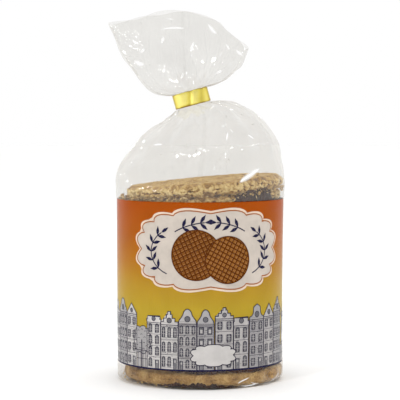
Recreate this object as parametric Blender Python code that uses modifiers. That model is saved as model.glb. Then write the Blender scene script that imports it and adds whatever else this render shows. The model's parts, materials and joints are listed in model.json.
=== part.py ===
"""A clear bag of stroopwafels, tied shut at the neck.

Two pieces: the filled bag, one solid out to the film, with its open ruffled top above the tie,
and the strip of stiff yellow foil that is wrapped round the gathered neck.
Metres, +Z up. The bag stands on z = 0 and its printed front faces -Y.
"""

import math

import bmesh
import bpy
from mathutils import Matrix, Vector

# The filled body, a little wider than the round biscuits inside it.
BODY_HALF_WIDTH = 0.0441
BODY_HALF_DEPTH = 0.0428
BODY_TAPER = 0.0006
BASE_CORNER = 0.0032
SHOULDER_Z = 0.0990

# The dome of slack film above the stack ends at the neck, which leans to the left.
DOME_HEIGHT = 0.0450
DOME_END_DEG = 75.0
DOME_BULGE_X = 0.0026
NECK_LEAN_DEG = 15.0
NECK_HALF_WIDTH = 0.0087
NECK_HALF_DEPTH = 0.0036
NECK_X = -0.0045
NECK_Z = 0.1468

# The foil strip round the neck.
CLIP_HEIGHT = 0.0078
CLIP_THICKNESS = 0.0005
CLIP_GAP = 0.0003
CLIP_LAP_TURN = 0.10
CLIP_START_TURN = 0.20
CLIP_BULGE = 0.0010
CLIP_CRIMP_DEG = -96.0
CLIP_CRIMP_WIDTH_DEG = 13.0

# The open top above the strip: a trumpet of gathered film.
FLARE_HALF_WIDTH = 0.0368
FLARE_HALF_DEPTH = 0.0215
FLARE_RISE = 0.0272
FLARE_OPENING = 0.88
FLARE_SHIFT_X = -0.0060
FLARE_TIP_DEG = -9.6
FLARE_CREST = 0.0118
FLARE_CREST_SKEW = 0.35
FLARE_WALL = 0.0018
MOUTH_FLOOR = 0.45

# Gathers: each wave is its number of folds round the bag and its phase.
DOME_GATHERS = ((13, 0.4, 1.0), (9, 2.1, 0.7))
FLARE_RUFFLES = ((5, 0.9, 1.0), (8, 2.6, 0.75), (3, 4.2, 0.5))
GATHER_DEPTH = 0.0010
RUFFLE_DEPTH = 0.0026
RIM_WAVE = 0.0016

COLUMNS = 72
BASE_ROWS = 4
BODY_ROWS = 5
DOME_ROWS = 13
NECK_ROWS = 3
FLARE_ROWS = 11
MOUTH_ROWS = 6
CLIP_COLUMNS = 96


def clear_scene():
    for obj in list(bpy.data.objects):
        bpy.data.objects.remove(obj, do_unlink=True)


def new_collection(name):
    collection = bpy.data.collections.new(name)
    bpy.context.scene.collection.children.link(collection)
    return collection


def material(name, colour, roughness, metallic=0.0):
    made = bpy.data.materials.new(name)
    made.use_nodes = True
    shader = made.node_tree.nodes["Principled BSDF"]
    shader.inputs["Base Color"].default_value = (*colour, 1.0)
    shader.inputs["Roughness"].default_value = roughness
    shader.inputs["Metallic"].default_value = metallic
    return made


def wave(folds, angle):
    """The sum of a few uneven waves round the bag, between about -1 and 1."""
    total = sum(share for _, _, share in folds)
    return sum(share * math.cos(count * angle + phase) for count, phase, share in folds) / total


def section(centre_x, centre_z, half_width, half_depth, lean, folds=(), fold_depth=0.0):
    """One closed loop of the bag: an oval that leans sideways, with folds round it."""
    across = Vector((math.cos(lean), 0.0, math.sin(lean)))
    centre = Vector((centre_x, 0.0, centre_z))
    loop = []
    for column in range(COLUMNS):
        angle = 2 * math.pi * column / COLUMNS
        swell = 1.0
        if folds:
            swell += fold_depth * wave(folds, angle) / half_depth
        loop.append(
            centre
            + across * (half_width * swell * math.cos(angle))
            + Vector((0.0, half_depth * swell * math.sin(angle), 0.0))
        )
    return loop


def base_sections():
    """The rounded lower corner, from the flat base up to the side wall."""
    for row in range(BASE_ROWS):
        turn = math.pi / 2 * row / BASE_ROWS
        inset = BASE_CORNER * (1 - math.sin(turn))
        height = BASE_CORNER * (1 - math.cos(turn))
        inset += BODY_TAPER
        yield section(0.0, height, BODY_HALF_WIDTH - inset, BODY_HALF_DEPTH - inset, 0.0)


def body_sections():
    """The side wall, which widens a little up to where the film leaves the stack."""
    for row in range(BODY_ROWS):
        share = row / BODY_ROWS
        height = BASE_CORNER + (SHOULDER_Z - BASE_CORNER) * share
        inset = BODY_TAPER * (1 - share)
        yield section(0.0, height, BODY_HALF_WIDTH - inset, BODY_HALF_DEPTH - inset, 0.0)


def dome_sections():
    """A quarter of an ellipse, which leans more and flattens as it closes on the neck."""
    for row in range(DOME_ROWS):
        turn = math.radians(DOME_END_DEG) * row / (DOME_ROWS - 1)
        half_width = BODY_HALF_WIDTH * math.cos(turn)
        closed = (BODY_HALF_WIDTH - half_width) / (BODY_HALF_WIDTH - NECK_HALF_WIDTH)
        depth_ratio = BODY_HALF_DEPTH / BODY_HALF_WIDTH
        neck_ratio = NECK_HALF_DEPTH / NECK_HALF_WIDTH
        flatness = depth_ratio + (neck_ratio - depth_ratio) * closed**4
        centre_x = DOME_BULGE_X * min(1.0, 6 * closed) + (NECK_X - DOME_BULGE_X) * closed**6
        yield section(
            centre_x,
            SHOULDER_Z + DOME_HEIGHT * math.sin(turn),
            half_width,
            half_width * flatness,
            math.radians(NECK_LEAN_DEG) * closed,
            folds=DOME_GATHERS,
            fold_depth=GATHER_DEPTH * math.sin(math.pi * min(1.0, closed)) ** 0.5,
        )


def neck_point(along):
    """The place on the leaning neck axis at this distance from the middle of the strip."""
    lean = math.radians(NECK_LEAN_DEG)
    return NECK_X - along * math.sin(lean), NECK_Z + along * math.cos(lean)


def neck_sections():
    """The gathered neck, plain where the strip goes round it."""
    for row in range(NECK_ROWS):
        along = CLIP_HEIGHT * (row / (NECK_ROWS - 1) - 0.5)
        x, z = neck_point(along)
        yield section(x, z, NECK_HALF_WIDTH, NECK_HALF_DEPTH, math.radians(NECK_LEAN_DEG))


def flare_section(spread, wall):
    """The trumpet at spread 0 (the strip) to 1 (the rim), drawn in by wall for its inner face."""
    start_x, start_z = neck_point(CLIP_HEIGHT / 2 + CLIP_GAP)
    lean = math.radians(NECK_LEAN_DEG + (FLARE_TIP_DEG - NECK_LEAN_DEG) * spread)
    opened = spread**FLARE_OPENING
    loop = section(
        start_x + FLARE_SHIFT_X * spread**1.6,
        start_z + FLARE_RISE * spread**2,
        NECK_HALF_WIDTH + (FLARE_HALF_WIDTH - NECK_HALF_WIDTH) * opened - wall,
        NECK_HALF_DEPTH + (FLARE_HALF_DEPTH - NECK_HALF_DEPTH) * opened - wall,
        lean,
        folds=FLARE_RUFFLES,
        fold_depth=RUFFLE_DEPTH * spread,
    )
    up = Vector((-math.sin(lean), 0.0, math.cos(lean)))
    for column, point in enumerate(loop):
        angle = 2 * math.pi * column / COLUMNS
        front_or_back = math.sin(angle) ** 2
        crest = FLARE_CREST * spread**1.5 * (1 + FLARE_CREST_SKEW * math.cos(angle))
        ripple = RIM_WAVE * spread**3 * math.sin(3 * angle + 0.6)
        point += up * (crest + ripple) * front_or_back
    return loop


def flare_sections():
    for row in range(1, FLARE_ROWS + 1):
        yield flare_section(row / FLARE_ROWS, 0.0)


def mouth_sections():
    """The inside of the open top, down to its floor just above the gathered neck."""
    for row in range(MOUTH_ROWS + 1):
        yield flare_section(1 + (MOUTH_FLOOR - 1) * row / MOUTH_ROWS, FLARE_WALL)


def loft(name, loops, collection, finish):
    """A closed skin through the loops: a flat face on the first and a shallow cone on the last."""
    shape = bmesh.new()
    rings = [[shape.verts.new(point) for point in loop] for loop in loops]
    for lower, upper in zip(rings, rings[1:]):
        for column in range(COLUMNS):
            following = (column + 1) % COLUMNS
            shape.faces.new((lower[column], lower[following], upper[following], upper[column]))
    shape.faces.new(reversed(rings[0]))
    floor = shape.faces.new(rings[-1])
    bmesh.ops.poke(shape, faces=[floor])
    bmesh.ops.recalc_face_normals(shape, faces=shape.faces)
    mesh = bpy.data.meshes.new(name)
    shape.to_mesh(mesh)
    shape.free()
    mesh.shade_smooth()
    mesh.set_sharp_from_angle(angle=math.radians(50))
    mesh.materials.append(finish)
    obj = bpy.data.objects.new(name, mesh)
    collection.objects.link(obj)
    return obj


def build_bag(collection):
    film = material("clear_film", (0.86, 0.85, 0.82), 0.18)
    loops = [
        *base_sections(),
        *body_sections(),
        *dome_sections(),
        *neck_sections(),
        *flare_sections(),
        *mouth_sections(),
    ]
    return loft("bag", loops, collection, film)


def clip_outline(turn):
    """The middle of the strip's thickness at this turn, in the strip's own plane.

    It stands a little off the neck, except where it is crimped down at the front, and it
    steps out at the back before its end laps over its start.
    """
    angle = 2 * math.pi * turn
    from_crimp = math.remainder(math.degrees(angle) - CLIP_CRIMP_DEG, 360)
    bulge = CLIP_BULGE * (1 - math.exp(-((from_crimp / CLIP_CRIMP_WIDTH_DEG) ** 2)))
    before_lap = CLIP_START_TURN + 1 - turn
    step = min(1.0, max(0.0, 1 - before_lap / CLIP_LAP_TURN))
    clear = CLIP_GAP + CLIP_THICKNESS / 2 + (CLIP_THICKNESS + CLIP_GAP) * step
    x = (NECK_HALF_WIDTH + clear) * math.cos(angle)
    y = (NECK_HALF_DEPTH + clear + bulge) * math.sin(angle)
    return x, y


def build_clip(collection):
    """A flat strip stood on edge, wound a little over one turn, with Solidify for its thickness."""
    shape = bmesh.new()
    turns = 1.0 + CLIP_LAP_TURN
    lower, upper = [], []
    for column in range(CLIP_COLUMNS + 1):
        x, y = clip_outline(CLIP_START_TURN + turns * column / CLIP_COLUMNS)
        lower.append(shape.verts.new((x, y, -CLIP_HEIGHT / 2)))
        upper.append(shape.verts.new((x, y, CLIP_HEIGHT / 2)))
    for column in range(CLIP_COLUMNS):
        shape.faces.new((lower[column], lower[column + 1], upper[column + 1], upper[column]))
    mesh = bpy.data.meshes.new("clip")
    shape.to_mesh(mesh)
    shape.free()
    mesh.shade_smooth()
    mesh.materials.append(material("yellow_foil", (0.93, 0.78, 0.12), 0.3, 0.6))
    clip = bpy.data.objects.new("clip", mesh)
    collection.objects.link(clip)
    clip.location = (NECK_X, 0.0, NECK_Z)
    clip.rotation_euler = (0.0, -math.radians(NECK_LEAN_DEG), 0.0)
    thickness = clip.modifiers.new("thickness", "SOLIDIFY")
    thickness.thickness = CLIP_THICKNESS
    thickness.offset = 0.0
    return clip


def centre_on_footprint(bag, clip):
    """Puts the middle of the bag's outline on the origin."""
    xs = [vertex.co.x for vertex in bag.data.vertices]
    ys = [vertex.co.y for vertex in bag.data.vertices]
    shift = Vector((-(min(xs) + max(xs)) / 2, -(min(ys) + max(ys)) / 2, 0.0))
    bag.data.transform(Matrix.Translation(shift))
    clip.location += shift


def main():
    clear_scene()
    collection = new_collection("tied_bag_of_stroopwafels")
    bag = build_bag(collection)
    clip = build_clip(collection)
    centre_on_footprint(bag, clip)


main()
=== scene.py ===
"""A clear, tied bag of stroopwafels: film, print, biscuits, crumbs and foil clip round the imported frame.

Metres, +Z up. The printed front faces -Y. The film is one crumpled skin that follows the frame's
bag; the print lies just inside it as thin shapes, and the biscuits are stacked in it.
"""

import json
import math
import random

import bmesh
import bpy
import numpy as np
from mathutils import Matrix, Vector, kdtree, noise
from mathutils.bvhtree import BVHTree

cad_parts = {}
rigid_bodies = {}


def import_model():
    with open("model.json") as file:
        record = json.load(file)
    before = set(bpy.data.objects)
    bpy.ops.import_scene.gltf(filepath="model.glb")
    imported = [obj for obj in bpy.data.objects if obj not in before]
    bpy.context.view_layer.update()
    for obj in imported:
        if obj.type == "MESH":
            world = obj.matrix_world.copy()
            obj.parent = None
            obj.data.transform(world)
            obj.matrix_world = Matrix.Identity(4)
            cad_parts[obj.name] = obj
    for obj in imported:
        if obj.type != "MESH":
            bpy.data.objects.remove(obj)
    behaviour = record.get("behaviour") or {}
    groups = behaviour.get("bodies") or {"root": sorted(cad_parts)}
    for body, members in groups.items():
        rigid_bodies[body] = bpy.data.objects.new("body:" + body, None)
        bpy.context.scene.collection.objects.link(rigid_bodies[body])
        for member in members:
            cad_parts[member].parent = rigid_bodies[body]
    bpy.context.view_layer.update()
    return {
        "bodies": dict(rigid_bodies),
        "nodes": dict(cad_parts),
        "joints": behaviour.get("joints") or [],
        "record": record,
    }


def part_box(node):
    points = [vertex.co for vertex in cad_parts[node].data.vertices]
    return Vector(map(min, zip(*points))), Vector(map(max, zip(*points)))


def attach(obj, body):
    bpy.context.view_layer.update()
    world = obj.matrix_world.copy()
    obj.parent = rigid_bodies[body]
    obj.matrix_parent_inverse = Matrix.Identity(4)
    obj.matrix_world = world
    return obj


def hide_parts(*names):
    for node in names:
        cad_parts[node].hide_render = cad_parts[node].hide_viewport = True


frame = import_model()

MM = 0.001

# The bag's driving sizes, as in the solid.
BODY_HALF_WIDTH = 0.0441
BODY_HALF_DEPTH = 0.0428
BODY_TAPER = 0.0006
BASE_CORNER = 0.0032
SHOULDER_Z = 0.0990
DOME_HEIGHT = 0.0450
DOME_END_DEG = 75.0
DOME_BULGE_X = 0.0026
NECK_LEAN_DEG = 15.0
NECK_HALF_WIDTH = 0.0087
NECK_HALF_DEPTH = 0.0036
NECK_X = -0.0045
NECK_Z = 0.1468
CLIP_HEIGHT = 0.0078
CLIP_THICKNESS = 0.0005
CLIP_GAP = 0.0003
CLIP_LAP_TURN = 0.10
CLIP_START_TURN = 0.20
CLIP_BULGE = 0.0010
CLIP_CRIMP_DEG = -96.0
CLIP_CRIMP_WIDTH_DEG = 13.0
FLARE_HALF_WIDTH = 0.0368
FLARE_HALF_DEPTH = 0.0215
FLARE_RISE = 0.0272
FLARE_OPENING = 0.88
FLARE_SHIFT_X = -0.0060
FLARE_TIP_DEG = -9.6
FLARE_CREST = 0.0118
FLARE_CREST_SKEW = 0.35
RIM_WAVE = 0.0016
DOME_GATHERS = ((13, 0.4, 1.0), (9, 2.1, 0.7))
FLARE_RUFFLES = ((5, 0.9, 1.0), (8, 2.6, 0.75), (3, 4.2, 0.5))
GATHER_DEPTH = 0.0010
RUFFLE_DEPTH = 0.0026

# How much higher the thin film's rim stands at the back than the solid's.
BACK_RISE = 0.0022

# The bag's own axis stands a little right of the origin, because the open top reaches left.
AXIS_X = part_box("bag")[1][0] - BODY_HALF_WIDTH

# The film's grid.
COLUMNS = 400
ANGLES = np.linspace(0, 2 * math.pi, COLUMNS, endpoint=False)
FRONT_ANGLE = -math.pi / 2
ZONE_ROWS = {"base": 8, "corner": 6, "wall": 46, "dome": 84, "neck": 8, "flare": 80}
FILM_GIRTH = 2 * math.pi * BODY_HALF_WIDTH
BASE_LIFT = 0.0003
CORNER_FOLD = math.radians(-38)
# The film's crumple: the sizes of its facets, the lengths of its soft swells, and the number,
# depth and reach of the gathers that run from the neck.
BIG_FACET = 0.0135
SMALL_FACET = 0.0058
LONG_SWELL = 0.0110
SHORT_SWELL = 0.0045
SWELL_DEPTH = 0.00036
GATHERS = ((31, 0.00050, 0.008), (14, 0.00060, 0.018))
# How strongly the big and the small facets show above the neck, and below it.
FLARE_CRUMPLE = (0.24, 0.09)
DOME_CRUMPLE = (0.17, 0.07)
# Bends of the film, in one over metres, at which creases start to whiten and are whitest.
SOFT_BEND = 110.0
HARD_BEND = 620.0
CREASE_WHITENING = 0.16
EDGE_WHITENING = 0.24
# Painted glints that stand out on the front: how far right of the bag's axis and above the floor the
# camera's line to them crosses the bag's middle plane, their length and width, all in millimetres,
# their turn in degrees, and how white they are. The last four are a painted pale glow on the folded corner of
# the base.
LARGE_PAINTED_GLINTS = (
    (6.4, 183.1, 8.0, 2.3, -48, 1.0),
    (-14.3, 182.6, 14.0, 1.3, 4, 1.0),
    (-19.5, 176.8, 3.8, 2.0, 70, 1.0),
    (-30.0, 171.6, 3.8, 1.8, 35, 1.0),
    (-31.8, 165.3, 6.2, 3.2, -25, 1.0),
    (-4.1, 173.6, 5.6, 2.0, 72, 1.0),
    (-9.3, 158.7, 3.2, 1.5, 75, 1.0),
    (9.5, 160.3, 5.0, 1.8, 22, 1.0),
    (14.2, 173.6, 4.0, 1.4, -60, 1.0),
    (20.4, 170.8, 5.6, 2.2, -35, 1.0),
    (6.4, 142.0, 5.0, 1.1, 82, 1.0),
    (-22.1, 122.3, 6.4, 1.8, 4, 1.0),
    (14.2, 126.5, 6.4, 1.2, 74, 1.0),
    (26.3, 126.7, 4.4, 1.7, -42, 1.0),
    (26.4, 106.6, 16.0, 3.8, 28, 1.0),
    (38.6, -1.2, 18.0, 3.6, 38, 0.32),
    (23.0, -1.9, 8.0, 1.1, 20, 0.75),
    (25.4, -4.1, 11.0, 1.5, 4, 0.8),
    (29.0, -3.0, 7.0, 1.0, -12, 0.6),
)
SMALL_PAINTED_GLINTS = 46
PAINTED_GLINT_LIFT = 0.00012
SEAM_LIFT = 0.00022
# Film finishes: how clear, how milky, the gloss seen face on, the gloss added at a glancing angle,
# and its roughness.
FILM_FINISHES = {
    "cellophane": ((0.897, 0.890, 0.873), 0.042, 0.045, 0.40, 0.07),
    "cellophane_over_print": ((0.985, 0.985, 0.980), 0.0, 0.003, 0.45, 0.12),
    "cellophane_foot": ((0.870, 0.850, 0.825), 0.012, 0.030, 0.40, 0.08),
    "cellophane_lap": ((0.998, 0.998, 0.995), 0.006, 0.004, 0.10, 0.12),
}
# Where the camera stands, from which the large painted glints are laid out too.
VIEWPOINT = Vector((AXIS_X, -0.86, 0.1396))

# The stack. The two top biscuits lie tilted, and the rest nearly level.
BISCUITS = 12
WAFFLE_PITCH = 0.0052
RIDGE_WIDTH = 0.00075
STACK_FOOT = 0.0009
STACK_TOP = 0.0876
HIDDEN_RADIUS = 0.0394
HIDDEN_X = AXIS_X + 0.0013
BOTTOM_HEIGHT = 0.0080
BOTTOM_RADIUS = 0.0412
BOTTOM_X = AXIS_X + 0.0019
UPPER_HEIGHT = 0.0062
SECOND_RADIUS = 0.0402
SECOND_X = AXIS_X + 0.0018
SECOND_Z = 0.0940
SECOND_TILT_DEG = 4.4
TOP_RADIUS = 0.0407
TOP_X = AXIS_X + 0.0025
TOP_HEIGHT = 0.0070
TOP_Z = 0.1006
TOP_TILT_DEG = 4.9
TOP_LEAN_DEG = 0.3
TOP_TURN_DEG = 27.0
HIDDEN_GAP = 0.0002
SYRUP_INSET = 0.0012

# Loose crumbs: round the foot, in the gap under the top biscuit, on its top, and above the band.
FOOT_CRUMBS = 115
GAP_CRUMBS = 305
TOP_CRUMBS = 70
BAND_CRUMBS = 130

# The printed band: its edges, the line that the houses stand on, and how far apart the layers of
# ink lie inside the film. Its flat shapes are cut at every step, so that they bend round the bag.
BAND_LOW = 0.0095
BAND_HIGH = 0.0945
BAND_FOOT = BAND_LOW + 0.0008
LAYER = 0.00006
GROUND_LAYERS = 8
CUT_STEP = 0.0025

# The studio: how much dimmer it is behind the camera, how much brighter overhead, and its lamps.
STUDIO_DIMMING = 0.45
STUDIO_OVERHEAD = 0.32
SPARK_LIGHTS = 38
SPARK_POWER = 0.16
KEY_POWER = 2.0
CAMERA_LENS_MM = 147.8
CAMERA_DIP_DEG = 3.07


# ---------------------------------------------------------------- helpers


def link(name, data):
    obj = bpy.data.objects.new(name, data)
    bpy.context.scene.collection.objects.link(obj)
    return obj


def mesh_object(name, vertices, faces, finish):
    mesh = bpy.data.meshes.new(name)
    mesh.from_pydata([tuple(v) for v in vertices], [], [tuple(f) for f in faces])
    mesh.update()
    mesh.shade_smooth()
    mesh.materials.append(finish)
    return link(name, mesh)


def bmesh_object(name, shape, finish):
    mesh = bpy.data.meshes.new(name)
    shape.to_mesh(mesh)
    shape.free()
    mesh.materials.append(finish)
    return link(name, mesh)


def place(obj):
    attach(obj, "root")


def store(obj, name, values):
    """Keeps one value for each vertex, which the object's material reads by its name."""
    attribute = obj.data.attributes.new(name, "FLOAT", "POINT")
    attribute.data.foreach_set("value", values)


def ray(turn):
    """The level unit vector at this angle from +X."""
    return Vector((math.cos(turn), math.sin(turn), 0.0))


def smoothstep(low, high, value):
    share = np.clip((value - low) / (high - low), 0.0, 1.0)
    return share * share * (3 - 2 * share)


def hump(value, width):
    """A smooth rise that is 1 at 0 and has almost gone at twice the width."""
    return np.exp(-((value / width) ** 2))


def grid_faces(rows, columns, closed=True):
    """Quads of a grid of points; closed joins the last column to the first."""
    faces = []
    for start in range(0, (rows - 1) * columns, columns):
        for column in range(columns if closed else columns - 1):
            here, following = start + column, start + (column + 1) % columns
            faces.append((here, following, following + columns, here + columns))
    return faces


# ---------------------------------------------------------------- materials

WHITE = (1.0, 1.0, 1.0)
VEIL_COLOUR = (0.96, 0.955, 0.935)
INK_FINISH = {"Roughness": 0.5, "Specular IOR Level": 0.02}
# Colour ramps: from the band's foot to its top; from pale to burnt, whose dark end is also the painted
# shade of the pits and of the hollows in the cut sides; and from the foil's painted highlight to its
# painted shade in creases, hollows and at its edges.
GROUND_FADE = (
    (0.36, (0.50, 0.345, 0.032)),
    (0.50, (0.475, 0.272, 0.026)),
    (0.64, (0.445, 0.168, 0.013)),
    (0.80, (0.41, 0.103, 0.006)),
    (1.00, (0.405, 0.072, 0.003)),
)
BAKED_AND_SHADED_TONES = (
    (0.00, (0.94, 0.75, 0.38)),
    (0.24, (0.76, 0.54, 0.22)),
    (0.50, (0.46, 0.27, 0.085)),
    (0.82, (0.090, 0.038, 0.014)),
)
SYRUP_TONES = ((0.3, (0.014, 0.005, 0.004)), (0.7, (0.075, 0.026, 0.012)))
FOIL_LIT_TO_SHADED_TONES = (
    (0.05, (0.93, 0.82, 0.24)),
    (0.35, (0.84, 0.70, 0.12)),
    (0.65, (0.52, 0.42, 0.06)),
    (1.00, (0.40, 0.20, 0.01)),
)


class Nodes:
    """The node tree of a material or the world, with short calls to add nodes and join them."""

    def __init__(self, owner):
        owner.use_nodes = True
        self.owner, self.tree = owner, owner.node_tree

    def feed(self, node, inputs):
        """Sets inputs by name or number, each to another node's output, a colour or a number."""
        for key, value in inputs.items():
            socket = node.inputs[key]
            if isinstance(value, bpy.types.NodeSocket):
                self.tree.links.new(value, socket)
            elif socket.type == "RGBA":
                socket.default_value = (*value, 1.0)
            else:
                socket.default_value = value

    def add(self, kind, inputs=None, output=0, **settings):
        """A new node's output, after its settings and inputs are set."""
        node = self.tree.nodes.new(kind)
        for key, value in settings.items():
            setattr(node, key, value)
        self.feed(node, inputs or {})
        return node.outputs[output]

    def attribute(self, name):
        return self.add("ShaderNodeAttribute", output="Fac", attribute_name=name)

    def position(self):
        return self.add("ShaderNodeTexCoord", output="Object")

    def axis(self, vector, name):
        return self.add("ShaderNodeSeparateXYZ", {0: vector}, name)

    def noise(self, scale, detail=4.0, roughness=0.55):
        inputs = {"Vector": self.position(), "Scale": scale, "Detail": detail, "Roughness": roughness}
        return self.add("ShaderNodeTexNoise", inputs, "Fac")

    def ramp(self, source, *stops):
        node = self.tree.nodes.new("ShaderNodeValToRGB")
        elements = node.color_ramp.elements
        while len(elements) < len(stops):
            elements.new(0.5)
        for element, (place_at, colour) in zip(elements, stops):
            element.position = place_at
            element.color = (*colour, 1.0)
        self.feed(node, {"Fac": source})
        return node.outputs["Color"]

    def maths(self, operation, first, second):
        return self.add("ShaderNodeMath", {0: first, 1: second}, operation=operation)

    def multiplied(self, colour, other):
        """Two colours multiplied; of this node's sockets, 6 and 7 take colours and 2 gives one."""
        inputs = {0: 1.0, 6: colour, 7: other}
        return self.add("ShaderNodeMix", inputs, 2, data_type="RGBA", blend_type="MULTIPLY")

    def blend(self, share, first, second):
        """Mixes two shaders."""
        return self.add("ShaderNodeMixShader", {0: share, 1: first, 2: second})


class Finish(Nodes):
    """A new material with one Principled shader."""

    def __init__(self, name, inputs):
        super().__init__(bpy.data.materials.new(name))
        self.set(inputs)

    def set(self, inputs):
        self.feed(self.tree.nodes["Principled BSDF"], inputs)
        return self.owner

    def bump(self, height, strength, distance):
        inputs = {"Height": height, "Strength": strength, "Distance": distance}
        self.set({"Normal": self.add("ShaderNodeBump", inputs)})


def film_material(name):
    """Cellophane: it dims what is behind it, adds a thin milky veil, and shines more at grazing angles."""
    clear, milk, shine, glare, roughness = FILM_FINISHES[name]
    film = Nodes(bpy.data.materials.new(name))
    film.tree.nodes.remove(film.tree.nodes["Principled BSDF"])
    cloudy = film.noise(75.0, detail=3.0)
    dimmed = film.ramp(cloudy, (0.30, tuple(0.965 * level for level in clear)), (0.70, clear))
    body = film.add("ShaderNodeBsdfTransparent", {"Color": dimmed})
    facing = film.add("ShaderNodeLayerWeight", {"Blend": 0.5}, "Facing")
    if milk:
        share = film.maths("ADD", film.maths("MULTIPLY", cloudy, milk), 0.12 * milk)
        edge = film.maths("MULTIPLY", film.maths("POWER", facing, 4.0), EDGE_WHITENING)
        whitened = film.maths("MULTIPLY", film.attribute("crease"), CREASE_WHITENING)
        share = film.maths("ADD", film.maths("ADD", share, edge), whitened)
        body = film.blend(share, body, film.add("ShaderNodeBsdfDiffuse", {"Color": VEIL_COLOUR}))
    gloss = film.add("ShaderNodeBsdfGlossy", {"Color": WHITE, "Roughness": roughness})
    grazing = film.maths("POWER", facing, 5.0)
    mirror = film.maths("ADD", film.maths("MULTIPLY", grazing, glare), shine)
    film.feed(film.tree.nodes["Material Output"], {"Surface": film.blend(mirror, body, gloss)})
    return film.owner


def painted_glint_material():
    """Painted glints on the film: a white that glows though no lamp is there, so that they show bright
    from every side. The mesh's "white" value fades each one out at its edges.
    """
    glint = Finish("cellophane_tuck", {"Base Color": (0.22, 0.219, 0.216), "Roughness": 0.25})
    # Painted glint: it glows white with no lamp behind it.
    glint.set({"Emission Color": (1.0, 0.995, 0.985), "Emission Strength": 0.78})
    white = glint.maths("MULTIPLY", glint.attribute("white"), 1.25)
    return glint.set({"Alpha": glint.maths("MINIMUM", white, 1.0)})


def ink_material(name, colour):
    """One flat ink, a little uneven in strength as print on film is."""
    ink = Finish(name, INK_FINISH)
    darker = tuple(channel * 0.90 for channel in colour)
    patchy = ink.ramp(ink.noise(180.0, detail=3.0), (0.35, darker), (0.65, colour))
    return ink.set({"Base Color": patchy})


def gradient_material():
    """The band's ground: burnt orange at the top, fading to mustard yellow at the houses' feet."""
    ground = Finish("band_ground", INK_FINISH)
    height = ground.axis(ground.position(), "Z")
    inputs = {"Value": height, "From Min": BAND_LOW, "From Max": BAND_HIGH}
    fade = ground.ramp(ground.add("ShaderNodeMapRange", inputs, "Result"), *GROUND_FADE)
    uneven = ground.ramp(ground.noise(90.0, detail=3.0), (0.3, (0.93, 0.93, 0.93)), (0.7, WHITE))
    return ground.set({"Base Color": ground.multiplied(fade, uneven)})


def waffle_material():
    """Baked waffle. A value the mesh keeps for each vertex says how dark a place is, from pale at 0 to almost
    black at 1: golden on the iron's raised ridges, browner in its pits, which is partly browning and partly
    painted shade, and dark in the hollows of the cut side, which is painted shade. Each loose crumb has a
    tone of its own."""
    waffle = Finish("waffle", {"Roughness": 0.8, "Specular IOR Level": 0.2})
    waffle.set({"Sheen Weight": 0.22, "Sheen Roughness": 0.4})
    grain = waffle.noise(1100.0, detail=5.0, roughness=0.7)
    speckle = waffle.maths("MULTIPLY", waffle.maths("SUBTRACT", grain, 0.5), 0.75)
    tone = waffle.ramp(waffle.maths("ADD", waffle.attribute("browning_and_shade"), speckle), *BAKED_AND_SHADED_TONES)
    patches = waffle.ramp(waffle.noise(55.0, detail=3.0), (0.35, (0.84, 0.79, 0.70)), (0.70, WHITE))
    waffle.bump(waffle.noise(1700.0, detail=5.0, roughness=0.7), 0.8, 0.0004)
    return waffle.set({"Base Color": waffle.multiplied(tone, patches)})


def syrup_material():
    """Dark caramel, half dull with crumbs."""
    syrup = Finish("caramel_syrup", {"Roughness": 0.4, "Specular IOR Level": 0.2})
    syrup.bump(syrup.noise(600.0), 0.4, 0.0003)
    return syrup.set({"Base Color": syrup.ramp(syrup.noise(300.0), *SYRUP_TONES)})


def foil_material():
    """Lemon-yellow foil with painted light and shade. A value the mesh keeps for each vertex darkens it as
    painted shade in the crimp and the hollows beside it, along its upper and lower edges, at its left and
    right ends and along its lower edge near the crimp; where that value is low it keeps the bright yellow
    of a painted highlight.
    """
    foil = Finish("yellow_foil", {"Metallic": 0.55, "Roughness": 0.27})
    wrinkles = foil.maths("MULTIPLY", foil.noise(420.0, detail=2.0), 0.16)
    creased = foil.maths("ADD", foil.attribute("foil_shade"), wrinkles)
    foil.bump(foil.noise(700.0, detail=2.0), 0.25, 0.0003)
    return foil.set({"Base Color": foil.ramp(creased, *FOIL_LIT_TO_SHADED_TONES)})


def floor_material():
    """A near-white floor."""
    floor = Finish("pale_floor", {"Roughness": 0.7})
    tone = floor.ramp(floor.noise(6.0), (0.3, (0.90, 0.90, 0.895)), (0.7, (0.92, 0.92, 0.915)))
    return floor.set({"Base Color": tone})


# ---------------------------------------------------------------- the bag's smooth shape


def wave(folds):
    """The sum of a few waves round the bag, each a count, a phase and a share, from -1 to 1."""
    total = sum(share for _, _, share in folds)
    return sum(share * np.cos(count * ANGLES + phase) for count, phase, share in folds) / total


def oval(x, z, half_width, half_depth, lean, swell=1.0):
    """One closed loop of the bag: an oval that leans sideways, and swells where it has folds."""
    loop = np.empty((COLUMNS, 3))
    across = half_width * swell * np.cos(ANGLES)
    loop[:, 0] = AXIS_X + x + math.cos(lean) * across
    loop[:, 1] = half_depth * swell * np.sin(ANGLES)
    loop[:, 2] = z + math.sin(lean) * across
    return loop


def level_loop(height, inset, reach=1.0):
    """A level loop that lies inside the bag's widest outline."""
    return oval(0.0, height, (BODY_HALF_WIDTH - inset) * reach, (BODY_HALF_DEPTH - inset) * reach, 0.0)


def base_loop(share):
    return level_loop(BASE_LIFT, BODY_TAPER + BASE_CORNER, 0.02 + 0.98 * share)


def corner_loop(share):
    turn = math.pi / 2 * share
    inset = BODY_TAPER + BASE_CORNER * (1 - math.sin(turn))
    return level_loop(BASE_LIFT + (BASE_CORNER - BASE_LIFT) * (1 - math.cos(turn)), inset)


def wall_loop(share):
    return level_loop(BASE_CORNER + (SHOULDER_Z - BASE_CORNER) * share, BODY_TAPER * (1 - share))


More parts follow.
